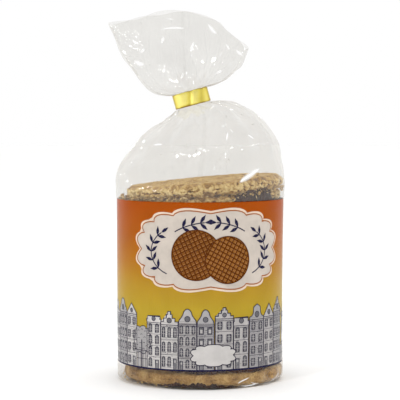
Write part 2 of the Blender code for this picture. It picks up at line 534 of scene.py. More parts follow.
def dome_loop(share):
    turn = math.radians(DOME_END_DEG) * share
    half_width = BODY_HALF_WIDTH * math.cos(turn)
    closed = (BODY_HALF_WIDTH - half_width) / (BODY_HALF_WIDTH - NECK_HALF_WIDTH)
    depth_ratio = BODY_HALF_DEPTH / BODY_HALF_WIDTH
    neck_ratio = NECK_HALF_DEPTH / NECK_HALF_WIDTH
    flatness = depth_ratio + (neck_ratio - depth_ratio) * closed**4
    centre_x = DOME_BULGE_X * min(1.0, 6 * closed) + (NECK_X - DOME_BULGE_X) * closed**6
    fold_depth = GATHER_DEPTH * math.sin(math.pi * min(1.0, closed)) ** 0.5
    return oval(
        centre_x,
        SHOULDER_Z + DOME_HEIGHT * math.sin(turn),
        half_width,
        half_width * flatness,
        math.radians(NECK_LEAN_DEG) * closed,
        1.0 + fold_depth * wave(DOME_GATHERS) / (half_width * flatness),
    )


def neck_point(along):
    """The place on the leaning neck's axis at this distance from the middle of the clip."""
    lean = math.radians(NECK_LEAN_DEG)
    return NECK_X - along * math.sin(lean), NECK_Z + along * math.cos(lean)


def neck_loop(share):
    x, z = neck_point(CLIP_HEIGHT * (share - 0.5))
    return oval(x, z, NECK_HALF_WIDTH, NECK_HALF_DEPTH, math.radians(NECK_LEAN_DEG))


def flare_loop(share):
    start_x, start_z = neck_point(CLIP_HEIGHT / 2 + CLIP_GAP)
    lean = math.radians(NECK_LEAN_DEG + (FLARE_TIP_DEG - NECK_LEAN_DEG) * share)
    opened = share**FLARE_OPENING
    half_width = NECK_HALF_WIDTH + (FLARE_HALF_WIDTH - NECK_HALF_WIDTH) * opened
    half_depth = NECK_HALF_DEPTH + (FLARE_HALF_DEPTH - NECK_HALF_DEPTH) * opened
    loop = oval(
        start_x + FLARE_SHIFT_X * share**1.6,
        start_z + FLARE_RISE * share**2,
        half_width,
        half_depth,
        lean,
        1.0 + RUFFLE_DEPTH * share * wave(FLARE_RUFFLES) / half_depth,
    )
    crest = FLARE_CREST * share**1.5 * (1 + FLARE_CREST_SKEW * np.cos(ANGLES))
    ripple = RIM_WAVE * share**3 * np.abs(np.sin(3 * ANGLES + 0.6))
    behind = BACK_RISE * share**3 * smoothstep(-0.2, 1.0, np.sin(ANGLES))
    lift = (crest + ripple + behind) * np.sin(ANGLES) ** 2
    loop[:, 0] -= math.sin(lean) * lift
    loop[:, 2] += math.cos(lean) * lift
    return loop


ZONE_LOOPS = {
    "base": base_loop,
    "corner": corner_loop,
    "wall": wall_loop,
    "dome": dome_loop,
    "neck": neck_loop,
    "flare": flare_loop,
}


def smooth_bag():
    """The bag's loops from the middle of its base to its rim, and the row at which each zone starts."""
    loops, starts = [], {}
    for zone, rows in ZONE_ROWS.items():
        starts[zone] = len(loops)
        loops += [ZONE_LOOPS[zone](row / rows) for row in range(rows)]
    loops.append(flare_loop(1.0))
    return np.array(loops), starts


# ---------------------------------------------------------------- crumpled film


def scattered_tree(cell, top, seed):
    """A tree of points, one at random in each cell of the flat film, repeated past its joined edges."""
    draw = random.Random(seed)
    columns = max(3, round(FILM_GIRTH / cell))
    step = FILM_GIRTH / columns
    points = []
    for row in range(-1, int(top / cell) + 2):
        for column in range(columns):
            x = (column + draw.random()) * step
            y = (row + draw.random()) * cell
            points += [(x + turn * FILM_GIRTH, y, 0.0) for turn in (-1, 0, 1)]
    tree = kdtree.KDTree(len(points))
    for index, point in enumerate(points):
        tree.insert(point, index)
    tree.balance()
    return tree


def facets(across, along, cell, seed):
    """Heights of a field of flat facets with sharp creases, whose slopes reach about 1.

    The squared distances to the nearest points of two scatters differ by a plane wherever both
    nearest points stay the same, so their difference is flat between straight creases.
    """
    top = float(along.max())
    field = np.zeros(across.size)
    for sign, tree_seed in ((1, seed), (-1, seed + 1)):
        tree = scattered_tree(cell, top, tree_seed)
        spots = zip(across.ravel(), along.ravel())
        field += sign * np.array([tree.find((x, y, 0.0))[2] ** 2 for x, y in spots])
    return field.reshape(across.shape) / (2 * cell)


def pleats(across, count, seed):
    """Uneven V-shaped gathers round the film, between -1 in the valleys and 1 on the ridges."""
    draw = random.Random(seed)
    step = FILM_GIRTH / count
    ridges = np.array([(index + 0.7 * draw.random()) * step for index in range(count)])
    heights = np.array([0.55 + 0.45 * draw.random() for _ in range(count)])
    gap = np.abs((across[..., None] - ridges + FILM_GIRTH / 2) % FILM_GIRTH - FILM_GIRTH / 2)
    peaks = heights - gap / (0.5 * step)
    return np.clip(peaks.max(axis=-1), -1.0, 1.0)


def ripples(along, size, seed):
    """Soft uneven swells, so that no facet is quite flat."""
    spots = np.stack(np.broadcast_arrays(np.cos(ANGLES), np.sin(ANGLES), along / BODY_HALF_WIDTH), axis=-1)
    scale = BODY_HALF_WIDTH / size
    flat = [noise.noise(Vector(spot) * scale + Vector((0, 0, seed * 9.1))) for spot in spots.reshape(-1, 3)]
    return np.array(flat).reshape(along.shape)


def outward(points):
    """Unit normals of the film's grid, pointing out."""
    round_the_bag = np.roll(points, -1, axis=1) - np.roll(points, 1, axis=1)
    up_the_bag = np.gradient(points, axis=0)
    normals = np.cross(round_the_bag, up_the_bag)
    lengths = np.linalg.norm(normals, axis=-1, keepdims=True)
    return normals / np.maximum(lengths, 1e-12)


def crumpled_bag():
    """The film's points, the row at which each zone starts, and how creased each point is."""
    points, starts = smooth_bag()
    normals = outward(points)
    steps = np.linalg.norm(np.diff(points, axis=0), axis=-1).mean(axis=1)
    height = np.concatenate([[0.0], np.cumsum(steps)])
    along = np.repeat(height[:, None], COLUMNS, axis=1)
    across = np.repeat(ANGLES[None, :] * BODY_HALF_WIDTH, len(points), axis=0)
    neck_low, neck_high = height[starts["neck"]], height[starts["flare"]]
    from_neck = np.maximum(neck_low - along, along - neck_high).clip(min=0.0)
    above = along > neck_high
    shoulder = height[starts["dome"]]
    # slack is 0 on the tight wall and 1 on the loose film, and free is 0 where the clip holds it.
    slack = smoothstep(shoulder - 0.006, shoulder + 0.012, along)
    free = smoothstep(0.0, 0.010, from_neck)
    drift = 0.004 * np.sin(along / 0.017) + 0.003 * np.sin(along / 0.007 + 2.0)

    # Facets drawn out along the bag, soft swells, and gathers that fade away from the neck.
    big = facets(across + drift, along * 0.62, BIG_FACET, 11)
    small = facets(across - drift, along * 0.70, SMALL_FACET, 23)
    soft = SWELL_DEPTH * (ripples(along, LONG_SWELL, 3) + 0.45 * ripples(along, SHORT_SWELL, 4))
    crumple = np.where(above, FLARE_CRUMPLE[0], DOME_CRUMPLE[0]) * big + soft
    crumple += np.where(above, FLARE_CRUMPLE[1], DOME_CRUMPLE[1]) * small
    rise = 0.0
    for (count, depth, reach), slant, seed in zip(GATHERS, (0.5, 1.0), (5, 6)):
        rise = rise + depth * pleats(across + slant * drift, count, seed) * np.exp(-from_neck / reach)
    shift = slack * (free * crumple + smoothstep(0.0, 0.0012, from_neck) * rise)

    # The crease along the base's corner, deepest at the right of the front.
    corner_crease = hump(along - height[starts["wall"]], 0.006)
    above_floor = along > height[starts["corner"]] - 0.001
    from_fold = np.angle(np.exp(1j * (ANGLES - CORNER_FOLD)))
    shift += (0.10 + 0.22 * hump(from_fold, 0.45)) * small * corner_crease * above_floor
    # The tight wall swells a little between the print's edges.
    swell = 0.00014 * np.sin(3 * ANGLES + 1.3) * np.sin(along / 0.019)
    shift += swell * (1 - slack) * (along > shoulder * 0.3)
    points = points + normals * shift[..., None]
    points[..., 2] = np.maximum(points[..., 2], BASE_LIFT)
    return points, starts, sharpness(shift, height)


def sharpness(shift, height):
    """How sharply the film is creased at each of its points: 0 where flat, 1 along a hard crease."""
    column_step = FILM_GIRTH / COLUMNS
    across = (np.roll(shift, -1, axis=1) - 2 * shift + np.roll(shift, 1, axis=1)) / column_step**2
    along = np.gradient(np.gradient(shift, height, axis=0), height, axis=0)
    return smoothstep(SOFT_BEND, HARD_BEND, np.abs(across) + np.abs(along))


def build_film(points, starts, creases):
    """The bag's one skin; where it lies over the print or round the bottom biscuit it is clearer."""
    faces = grid_faces(len(points), COLUMNS)
    faces.append(range(COLUMNS - 1, -1, -1))
    film = mesh_object("film", points.reshape(-1, 3), faces, film_material("cellophane"))
    film.data.materials.append(film_material("cellophane_over_print"))
    film.data.materials.append(film_material("cellophane_foot"))
    store(film, "crease", creases.ravel())
    row_height = (SHOULDER_Z - BASE_CORNER) / ZONE_ROWS["wall"]
    first = starts["wall"] + round((BAND_LOW - BASE_CORNER) / row_height)
    last = starts["wall"] + round((BAND_HIGH - BASE_CORNER) / row_height)
    finishes = np.zeros(len(film.data.polygons), dtype=int)
    finishes[: last * COLUMNS] = 1
    finishes[: first * COLUMNS] = 2
    film.data.polygons.foreach_set("material_index", finishes)
    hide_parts("bag")
    place(film)
    return film


def build_back_seam(points, starts):
    """The narrow lap down the middle of the back where the film's two edges are welded together."""
    middle, half = COLUMNS // 4, 2
    lap = (points + outward(points) * SEAM_LIFT)[:, middle - half : middle + half + 1]
    finish = film_material("cellophane_lap")
    stretches = {"low": (starts["corner"], starts["neck"] - 1), "high": (starts["flare"] + 2, len(points))}
    for name, (first, last) in stretches.items():
        strip = lap[first:last]
        faces = grid_faces(len(strip), 2 * half + 1, closed=False)
        place(mesh_object(f"back_seam_{name}", strip.reshape(-1, 3), faces, finish))


class PaintedGlints:
    """Painted glints: thin white spindles that lie on the film, each fading towards its edges."""

    STEPS = 8

    def __init__(self, film):
        corners = [vertex.co[:] for vertex in film.data.vertices]
        self.film = BVHTree.FromPolygons(corners, [face.vertices[:] for face in film.data.polygons])
        self.vertices, self.faces, self.white = [], [], []

    def add(self, origin, target, length, width, turn, strength, skew, bow):
        """A painted glint where the line from the origin through the target first meets the film."""
        spot, normal, _, _ = self.film.ray_cast(origin, (target - origin).normalized())
        if spot is None:
            return
        aside = Vector((-normal.y, normal.x, 0.0)).normalized()
        up = normal.cross(aside)
        ahead = aside * math.cos(turn) + up * math.sin(turn)
        across = up * math.cos(turn) - aside * math.sin(turn)
        start = len(self.vertices)
        for step in range(self.STEPS + 1):
            share = step / self.STEPS
            swell = math.sin(math.pi * share**skew)
            bent = across * (bow * length * 4 * share * (1 - share))
            half_width = max(0.03 * MM, 0.5 * width * max(0.0, swell) ** 0.8)
            for side in (-1, 0, 1):
                near = spot + ahead * (share - 0.5) * length + bent + across * side * half_width
                place_on, outside, _, _ = self.film.find_nearest(near)
                self.vertices.append(place_on + outside * PAINTED_GLINT_LIFT)
                self.white.append(0.0 if side else strength * min(1.0, 2.5 * swell))
        for step in range(self.STEPS):
            for side in (0, 1):
                low = start + 3 * step + side
                self.faces.append((low, low + 3, low + 4, low + 1))


def build_painted_glints(film):
    """The painted glints on the film: large ones listed for the front, small ones all round."""
    draw = random.Random(37)
    glints = PaintedGlints(film)
    for x, z, length, width, turn_deg, strength in LARGE_PAINTED_GLINTS:
        target = Vector((AXIS_X + x * MM, 0.0, z * MM))
        skew, bow = draw.uniform(0.8, 1.4), draw.uniform(-0.08, 0.08)
        glints.add(VIEWPOINT, target, length * MM, width * MM, math.radians(turn_deg), strength, skew, bow)
    for _ in range(SMALL_PAINTED_GLINTS):
        azimuth = draw.uniform(0, math.tau)
        target = Vector((AXIS_X, 0.0, draw.uniform(0.103, 0.187)))
        origin = target + ray(azimuth) * 0.2 + Vector((0.0, 0.0, draw.uniform(-0.02, 0.04)))
        target += ray(azimuth + math.pi / 2) * draw.uniform(-0.030, 0.030)
        length, width = draw.uniform(1.4, 3.6) * MM, draw.uniform(0.5, 0.95) * MM
        turn = draw.uniform(-0.5, 2.2)
        strength, skew, bow = draw.uniform(0.5, 1.0), draw.uniform(0.8, 1.3), draw.uniform(-0.1, 0.1)
        glints.add(origin, target, length, width, turn, strength, skew, bow)
    obj = mesh_object("film_painted_glints", glints.vertices, glints.faces, painted_glint_material())
    store(obj, "white", glints.white)
    place(obj)


# ---------------------------------------------------------------- the print

# Inks, and the sheets of shapes: each sheet's ink, and how many layers it lies inside the film.
INK_COLOURS = {
    "cream": (0.66, 0.585, 0.52),
    "pale": (0.84, 0.68, 0.55),
    "rust": (0.40, 0.13, 0.035),
    "stone": (0.53, 0.505, 0.50),
    "chalk": (0.65, 0.625, 0.61),
    "shade": (0.42, 0.405, 0.41),
    "slate": (0.25, 0.245, 0.26),
    "glass": (0.16, 0.156, 0.172),
    "navy": (0.022, 0.020, 0.060),
    "line": (0.034, 0.028, 0.055),
    "toast": (0.335, 0.130, 0.028),
    "toast_dark": (0.26, 0.092, 0.020),
    "burnt": (0.115, 0.032, 0.005),
    "toffee": (0.43, 0.185, 0.050),
}
BACKING_COLOUR = (0.62, 0.58, 0.55)
INK_SHEETS = {
    "border": ("pale", 7),
    "walls": ("stone", 7),
    "panel": ("cream", 6),
    "bright_walls": ("chalk", 6),
    "shaded_walls": ("shade", 6),
    "roofs": ("slate", 6),
    "courses": ("glass", 5.8),
    "windows": ("glass", 5.5),
    "rim": ("rust", 5),
    "outlines": ("line", 5),
    "muntins": ("stone", 4.5),
    "leaves": ("navy", 5),
    "label": ("chalk", 4),
    "label_line": ("line", 3),
    "back_waffle": ("toast_dark", 5),
    "back_lines": ("burnt", 4),
    "back_lights": ("toffee", 4),
    "front_waffle": ("toast", 3),
    "front_lines": ("burnt", 2),
    "front_lights": ("toffee", 2),
}

# The street: the order of its row, the plots of a mill and a tree, and in millimetres the limits of
# a house's width, eaves and gable, and the gaps between houses.
STREET = "bell step flat neck point step mill neck bell point tree flat step bell".split()
MILL_PLOT = 12.0 * MM
TREE_PLOT = 7.4 * MM
LEAST_PLOT = 7.7 * MM
ROW_END = 0.3 * MM
HOUSE_WIDTHS = (8.2, 11.2)
EAVES_HEIGHTS = (21.5, 27.0)
GABLE_HEIGHTS = (5.5, 8.0)
HOUSE_GAPS = (0.2, 0.2, 0.6)
STOREY = 6.4 * MM
COURSE = 0.9 * MM
BRICKS = 22
LEAF_BREADTH = 0.17
LEAF_LEAN = math.radians(48)
PANEL_FRAME = 1.6 * MM
# The left half of each gable: shares of the house's width across and of the gable's height up.
GABLES = {
    "step": [
        (0.0, 0.0), (0.0, 0.25), (0.17, 0.25), (0.17, 0.5),
        (0.33, 0.5), (0.33, 0.78), (0.42, 0.78), (0.42, 1.0),
    ],
    "point": [(0.0, 0.0), (0.0, 0.10), (0.5, 1.0)],
    "neck": [(0.0, 0.0), (0.0, 0.18), (0.14, 0.24), (0.24, 0.42), (0.27, 0.82), (0.5, 1.0)],
    "bell": [(0.0, 0.0), (0.04, 0.25), (0.14, 0.40), (0.24, 0.58), (0.30, 0.82), (0.40, 0.96), (0.5, 1.0)],
    "flat": [(0.0, 0.0), (-0.03, 0.10), (-0.03, 0.30), (0.04, 0.30), (0.04, 0.55)],
}


class Band:
    """Maps flat places on the printed band to the film's wall.

    x runs round the bag from the middle of the front, to the right as seen from outside, and
    y is the height above the floor.
    """

    def __init__(self, points, starts):
        self.wall = points[starts["wall"] : starts["dome"] + 1]

    def spot(self, x, y, depth):
        angle = FRONT_ANGLE + x / BODY_HALF_WIDTH
        column = angle / math.tau * COLUMNS % COLUMNS
        row = (y - BASE_CORNER) / (SHOULDER_Z - BASE_CORNER) * (len(self.wall) - 1)
        left, low = int(column), min(int(row), len(self.wall) - 2)
        across, up = column - left, row - low
        right = (left + 1) % COLUMNS
        lower = self.wall[low, left] * (1 - across) + self.wall[low, right] * across
        upper = self.wall[low + 1, left] * (1 - across) + self.wall[low + 1, right] * across
        return Vector(lower * (1 - up) + upper * up) - ray(angle) * depth


class Ink:
    """Flat shapes of one colour, drawn on the band and then wrapped round it.

    Places are in metres, and the widths of strokes in millimetres.
    """

    def __init__(self, name, finish, layers):
        self.name, self.finish, self.depth = name, finish, layers * LAYER
        self.flat = bmesh.new()

    def shape(self, outline):
        self.flat.faces.new([self.flat.verts.new((x, y, 0.0)) for x, y in outline])

    def box(self, x, y, width, height):
        self.shape([(x, y), (x + width, y), (x + width, y + height), (x, y + height)])

    def line(self, path, stroke, closed=False):
        """A stroke of even width along a path, mitred at its bends."""
        spots = [Vector(spot) for spot in path]
        count, sides = len(spots), []
        for index, spot in enumerate(spots):
            before = spots[index - 1] if closed or index > 0 else spot
            after = spots[(index + 1) % count] if closed or index < count - 1 else spot
            ahead = (after - before).normalized()
            leg = ahead if after is spot else (after - spot).normalized()
            across = Vector((-ahead.y, ahead.x)) * (stroke * MM / 2 / max(0.5, abs(leg.dot(ahead))))
            sides.append((spot + across, spot - across))
        for index in range(count if closed else count - 1):
            left, right = sides[index], sides[(index + 1) % count]
            self.shape([left[0], left[1], right[1], right[0]])

    def level(self, x, y, width, stroke):
        """A level stroke from x to the right."""
        self.line([(x, y), (x + width, y)], stroke)

    def wrap(self, band):
        """Cuts the shapes into small pieces, so that they bend, and lays them just inside the film."""
        half = FILM_GIRTH / 2
        cuts = [((x, 0, 0), (1, 0, 0)) for x in np.arange(-half + CUT_STEP, half, CUT_STEP)]
        cuts += [((0, y, 0), (0, 1, 0)) for y in np.arange(BAND_LOW + CUT_STEP, BAND_HIGH, CUT_STEP)]
        bmesh.ops.triangulate(self.flat, faces=[f for f in self.flat.faces if len(f.verts) > 4])
        for spot, normal in cuts:
            everything = [*self.flat.verts, *self.flat.edges, *self.flat.faces]
            bmesh.ops.bisect_plane(self.flat, geom=everything, dist=1e-6, plane_co=spot, plane_no=normal)
        for vertex in self.flat.verts:
            vertex.co = band.spot(vertex.co.x, vertex.co.y, self.depth)
        bmesh.ops.recalc_face_normals(self.flat, faces=self.flat.faces)
        place(bmesh_object(self.name, self.flat, self.finish))


def arc(x, y, radius_x, radius_y, start_deg, end_deg, steps):
    turns = [math.radians(start_deg + (end_deg - start_deg) * step / steps) for step in range(steps + 1)]
    return [(x + radius_x * math.cos(t), y + radius_y * math.sin(t)) for t in turns]


def ring(x, y, radius, sides):
    return arc(x, y, radius, radius, 0, 360, sides)[:-1]


def scalloped(x, y, half_width, half_height, scallops, lobe_depth=0.085):
    """A plaque with a row of shallow round lobes all the way round."""
    outline, steps = [], 8 * scallops
    for step in range(steps):
        turn = math.tau * step / steps
        reach = 1 - lobe_depth + lobe_depth * abs(math.sin(scallops * turn / 2)) ** 0.8
        side = abs(math.cos(turn)) ** 0.72 * math.copysign(1, math.cos(turn))
        rise = abs(math.sin(turn)) ** 0.80 * math.copysign(1, math.sin(turn))
        outline.append((x + half_width * reach * side, y + half_height * reach * rise))
    return outline


def directions(turn):
    """The unit vectors ahead and to the left, for a heading on the flat print."""
    return Vector((math.cos(turn), math.sin(turn))), Vector((-math.sin(turn), math.cos(turn)))


def draw_outlined(inks, sheet, outline, stroke, line_sheet="outlines"):
    """A filled shape with a line round it."""
    inks[sheet].shape(outline)
    inks[line_sheet].line(outline, stroke, closed=True)


def draw_waffle(inks, sheet, x, y, radius, turn_deg):
    """A round waffle seen from above: a dark grid on caramel brown, each square lit along one side."""
    lines, lights = inks[f"{sheet}_lines"], inks[f"{sheet}_lights"]
    draw_outlined(inks, f"{sheet}_waffle", ring(x, y, radius, 48), 0.6, f"{sheet}_lines")
    middle = Vector((x, y))
    ahead, aside = directions(math.radians(turn_deg))
    spacing = 2.15 * MM
    reach = int(radius / spacing)
    for index in range(-reach, reach + 1):
        offset = index * spacing
        half = math.sqrt(radius**2 - offset**2)
        for way, across in ((ahead, aside), (aside, ahead)):
            lines.line([middle + across * offset - way * half, middle + across * offset + way * half], 0.62)
        for step in range(-reach, reach):
            start = middle + aside * (offset + 0.5 * MM) + ahead * (step * spacing + 0.4 * MM)
            end = start + ahead * 1.35 * MM
            if max((start - middle).length, (end - middle).length) < radius - 0.8 * MM:
                lights.line([start, end], 0.34)


def roofline(x, width, eaves, gable, rise):
    """A house's gable from its left eaves over the top to its right eaves."""
    left = [(x + across * width, eaves + up * rise) for across, up in GABLES[gable]]
    right = [(2 * x + width - px, py) for px, py in reversed(left)]
    return left + (right[1:] if right[0] == left[-1] else right)


def draw_window(inks, x, y, width, height, style):
    """A sash, arched, tall or shuttered window: light bars on grey glass, in a dark line."""
    pen, bars = inks["outlines"], inks["muntins"]
    right, top = x + width, y + height
    frame = [(x, y), (right, y), (right, top), (x, top)]
    if style == "arched":
        frame[2:] = arc(x + width / 2, top, width / 2, width * 0.4, 0, 180, 6)
    if style == "tall":
        bars.box(x + width * 0.22, y + height * 0.08, width * 0.56, height * 0.60)
    else:
        bars.line([(x + width / 2, y), (x + width / 2, top)], 0.24)
        for share in (0.36, 0.70):
            bars.level(x, y + height * share, width, 0.20)
    if style == "shuttered":
        for left in (x - width * 0.38, right + width * 0.08):
            inks["shaded_walls"].box(left, y, width * 0.30, height)
            for louvre in range(1, 6):
                pen.level(left, y + height * louvre / 6, width * 0.30, 0.12)
    draw_outlined(inks, "windows", frame, 0.30)
    pen.level(x - 0.25 * MM, y - 0.35 * MM, width + 0.50 * MM, 0.20)


def draw_door(inks, middle, foot, pitch, storey):
    wide, tall = pitch * 0.46, storey * 0.74
    left, right = middle - wide / 2, middle + wide / 2
    inks["roofs"].box(left, foot, wide, tall)
    inks["muntins"].box(left + wide * 0.2, foot + tall * 0.62, wide * 0.6, tall * 0.22)
    inks["outlines"].line([(left, foot), (left, foot + tall), (right, foot + tall), (right, foot)], 0.32)


def draw_house(inks, x, width, eaves, gable, rise, draw):
    """A gabled house with its floors of windows, one door and some of its bricks."""
    foot, pen = BAND_FOOT, inks["outlines"]
    roof = roofline(x, width, eaves, gable, rise)
    walls = inks[draw.choice(("walls", "walls", "bright_walls", "bright_walls", "shaded_walls"))]
    walls.shape([(x, foot), (x + width, foot)] + roof[::-1])
    pen.line([(x, foot), *roof, (x + width, foot)], 0.42)
    for drop, thick in ((0.0, 0.30), (0.8, 0.16), (1.1, 0.12)):
        pen.level(x, eaves - drop * MM, width, thick)
    style = draw.choice(("sash", "arched", "tall", "shuttered"))
    columns = 3 if width > 9.3 * MM and style != "shuttered" else 2
    floors = round((eaves - foot) / STOREY)
    storey, pitch = (eaves - foot) / floors, width / columns
    wide = pitch * (0.40 if style == "shuttered" else 0.50)
    door = draw.randrange(columns)
    if draw.random() < 0.5:
        for course in np.arange(foot + COURSE, eaves + rise * 0.2, COURSE):
            inks["courses"].level(x, course, width, 0.11)
    for floor in range(floors):
        for column in range(columns):
            middle = x + (column + 0.5) * pitch
            if floor == 0 and column == door:
                draw_door(inks, middle, foot, pitch, storey)
            else:
                sill = foot + (floor + 0.20) * storey
                draw_window(inks, middle - wide / 2, sill, wide, storey * 0.56, style)
        if floor:
            pen.level(x, foot + floor * storey, width, 0.18)
    attic = ring(x + width / 2, eaves + rise * 0.34, min(width * 0.15, rise * 0.19), 16)
    draw_outlined(inks, "windows", attic, 0.28)
    for _ in range(BRICKS):
        left = x + draw.uniform(0.05, 0.85) * width
        pen.box(left, draw.uniform(foot + 1 * MM, eaves), draw.uniform(0.5, 1.0) * MM, 0.18 * MM)


def draw_windmill(inks, x, foot, height, turn_deg):
    """A tapered mill with a cap, a gallery, three openings and four latticed sails."""
    pen = inks["outlines"]
    top, half_foot, half_top = foot + height, 4.2 * MM, 2.4 * MM
    body = [(x - half_foot, foot), (x + half_foot, foot), (x + half_top, top), (x - half_top, top)]
    draw_outlined(inks, "bright_walls", body, 0.38)
    draw_outlined(inks, "roofs", arc(x, top, half_top * 1.15, 2.6 * MM, 0, 180, 10), 0.38)
    pen.level(x - 5.0 * MM, foot + height * 0.42, 10.0 * MM, 0.6)
    for share, tall, style in ((0.62, 2.6, "sash"), (0.24, 2.6, "sash"), (0.04, 3.4, "arched")):
        draw_window(inks, x - 0.8 * MM, foot + height * share, 1.6 * MM, tall * MM, style)
    hub = Vector((x, top + 0.8 * MM))
    pen.shape(ring(hub.x, hub.y, 0.6 * MM, 12))
    for blade in range(4):
        ahead, aside = directions(math.radians(turn_deg + 90 * blade))
        start, end, sail = hub + ahead * 1.6 * MM, hub + ahead * 10.5 * MM, aside * 2.2 * MM
        pen.line([hub, end], 0.42)
        pen.line([start, end, end + sail, start + sail], 0.26, closed=True)
        for rung in range(1, 7):
            spot = start + (end - start) * rung / 7
            pen.line([spot, spot + sail], 0.18)


def draw_tree(inks, x, foot, height):
    """A tree with a scalloped crown, its leaves marked by small arcs."""
    crown, top = height * 0.30, foot + height * 0.66
    inks["outlines"].line([(x, foot), (x, top)], 0.6)
    draw_outlined(inks, "shaded_walls", scalloped(x, top, crown, crown * 1.15, 11, 0.16), 0.32)
    for share, count in ((0.35, 5), (0.72, 11)):
        for index in range(count):
            turn = math.tau * (index + share) / count
            leaf_x, leaf_y = x + crown * share * math.cos(turn), top + crown * 1.1 * share * math.sin(turn)
            inks["outlines"].line(arc(leaf_x, leaf_y, 0.7 * MM, 0.5 * MM, 10, 170, 4), 0.22)


def draw_garden_wall(inks, x, width):
    """A low wall of two courses behind a tree or a mill."""
    height = 8.5 * MM
    inks["walls"].box(x, BAND_FOOT, width, height)
    for share in (0.5, 1.0):
        inks["outlines"].level(x, BAND_FOOT + height * share, width, 0.3)
    for share in (0.15, 0.38, 0.62, 0.85):
        post = x + width * share
        inks["outlines"].line([(post, BAND_FOOT), (post, BAND_FOOT + height)], 0.18)


def draw_street(inks):
    """The row of gabled houses, windmills and trees round the foot of the band."""
    draw = random.Random(71)
    end = FILM_GIRTH / 2 - ROW_END
    x, plots = -end, 0
    while x < end - LEAST_PLOT:
        kind = STREET[plots % len(STREET)]
        plots += 1
        if kind == "mill":
            draw_garden_wall(inks, x, MILL_PLOT)
            draw_windmill(inks, x + MILL_PLOT / 2, BAND_FOOT, 23 * MM, draw.uniform(20, 65))
            x += MILL_PLOT
        elif kind == "tree":
            draw_garden_wall(inks, x, TREE_PLOT)
            draw_tree(inks, x + 3.6 * MM, BAND_FOOT, 21 * MM)
            x += TREE_PLOT
        else:
            width = min(draw.uniform(*HOUSE_WIDTHS) * MM, end - x)
            eaves = BAND_FOOT + draw.uniform(*EAVES_HEIGHTS) * MM
            draw_house(inks, x, width, eaves, kind, draw.uniform(*GABLE_HEIGHTS) * MM, draw)
            x += width + draw.choice(HOUSE_GAPS) * MM
    draw_garden_wall(inks, x, end - x)


def draw_leaf(ink, root, turn, length):
    """A pointed leaf that grows from its root."""
    ahead, aside = (way * length for way in directions(turn))
    near, middle, broad = ahead * 0.3, ahead * 0.55, aside * LEAF_BREADTH
    right = [root + near - broad * 0.8, root + middle - broad]
    left = [root + middle + broad, root + near + broad * 0.8]
    ink.shape([root, *right, root + ahead, *left])


def draw_garland(ink, path, length, every):
    """A stem with a pair of leaves at every so many of its points, and one leaf at its tip."""
    stem = [Vector(spot) for spot in path]
    ink.line(stem, 0.55)
    turns = [math.atan2(after.y - spot.y, after.x - spot.x) for spot, after in zip(stem, stem[1:])]
    for index in range(every, len(turns), every):
        for lean in (-LEAF_LEAN, LEAF_LEAN):
            draw_leaf(ink, stem[index], turns[index] + lean, length)
    draw_leaf(ink, stem[-1], turns[-1], length)


def draw_plaque(inks, x, y):
    """A scalloped plaque with two waffles in a laurel of navy leaves."""
    outline = scalloped(x, y, 43.5 * MM, 21.5 * MM, 16)
    inks["border"].shape(outline)
    inner = [(x + (px - x) * 0.965, y + (py - y) * 0.935) for px, py in outline]
    draw_outlined(inks, "panel", inner, 0.55, "rim")
    draw_waffle(inks, "back", x - 7.5 * MM, y - 2.5 * MM, 12.6 * MM, 25)
    draw_waffle(inks, "front", x + 9.0 * MM, y - 5.0 * MM, 11.8 * MM, 62)
    leaves = inks["leaves"]
    for side in (-1, 1):
        lower = arc(x + side * 15 * MM, y - 1 * MM, side * 17 * MM, 12.5 * MM, -62, 50, 22)
        draw_garland(leaves, lower, 5.0 * MM, 4)
        upper = arc(x, y - 8.5 * MM, side * 30 * MM, 22.5 * MM, 52, 84, 14)
        draw_garland(leaves, upper, 5.2 * MM, 4)
    leaves.shape(ring(x, y + 14.2 * MM, 1.3 * MM, 20))


def draw_bare_panel(inks, x, y, width, height):
    """A plain framed panel on the side away from the front."""
    inks["border"].box(x - width / 2, y - height / 2, width, height)
    across, up = width / 2 - PANEL_FRAME, height / 2 - PANEL_FRAME
    inner = [(x - across, y - up), (x + across, y - up), (x + across, y + up), (x - across, y + up)]
    draw_outlined(inks, "panel", inner, 0.45, "rim")


def build_print(points, starts):
    """The ground and its pale backing, and the drawn sheets between them and the film."""
    backing_ink = ink_material("ink_backing", BACKING_COLOUR)
    sheets = {
        "ground": Ink("print_ground", gradient_material(), GROUND_LAYERS),
        "backing": Ink("print_backing", backing_ink, GROUND_LAYERS + 1),
    }
    for sheet in sheets.values():
        sheet.box(-FILM_GIRTH / 2, BAND_LOW, FILM_GIRTH, BAND_HIGH - BAND_LOW)
    finishes = {name: ink_material(f"ink_{name}", colour) for name, colour in INK_COLOURS.items()}
    for name, (colour, layers) in INK_SHEETS.items():
        sheets[name] = Ink(f"print_{name}", finishes[colour], layers)
    sheets["leaves"].box(-FILM_GIRTH / 2, BAND_LOW, FILM_GIRTH, BAND_FOOT - BAND_LOW)
    draw_street(sheets)
    draw_plaque(sheets, 5.5 * MM, 70.5 * MM)
    label = scalloped(7.0 * MM, BAND_FOOT + 7.2 * MM, 12.2 * MM, 5.6 * MM, 10, 0.14)
    draw_outlined(sheets, "label", label, 0.40, "label_line")
    for x in (98 * MM, -98 * MM):
        draw_bare_panel(sheets, x, 69 * MM, 44 * MM, 36 * MM)
    band = Band(points, starts)
    for sheet in sheets.values():
        sheet.wrap(band)


# ---------------------------------------------------------------- biscuits


